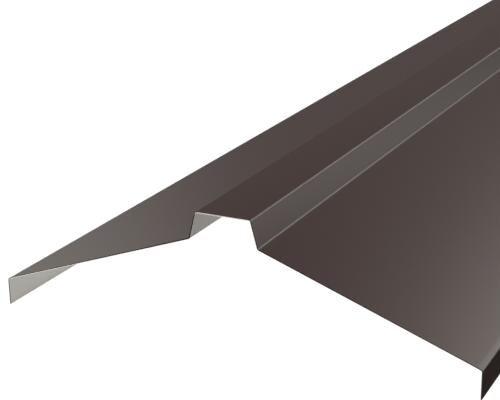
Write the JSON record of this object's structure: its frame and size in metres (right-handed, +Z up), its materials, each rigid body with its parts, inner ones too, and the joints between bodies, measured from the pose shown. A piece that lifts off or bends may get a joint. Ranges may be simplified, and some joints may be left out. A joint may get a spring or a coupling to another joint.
{
  "type": "roof ridge trim",
  "caption": "Long folded sheet-steel trim with a raised flat crown, sloping wings and turned-down drip lips, which covers the ridge of a pitched roof.",
  "frame": {"origin": "on the floor, midway between the two drip lips and midway along the length", "axes": "+Y along the trim, +X across it to the right, +Z up through the middle of the crown"},
  "size_m": [0.2508, 2, 0.0664],
  "materials": {
    "brown_coat": "semi-gloss dark brown coil coating on galvanised steel, with a light grey back coat"
  },
  "bodies": {
    "root": {"ridge_trim": "brown_coat"}
  },
  "joints": []
}
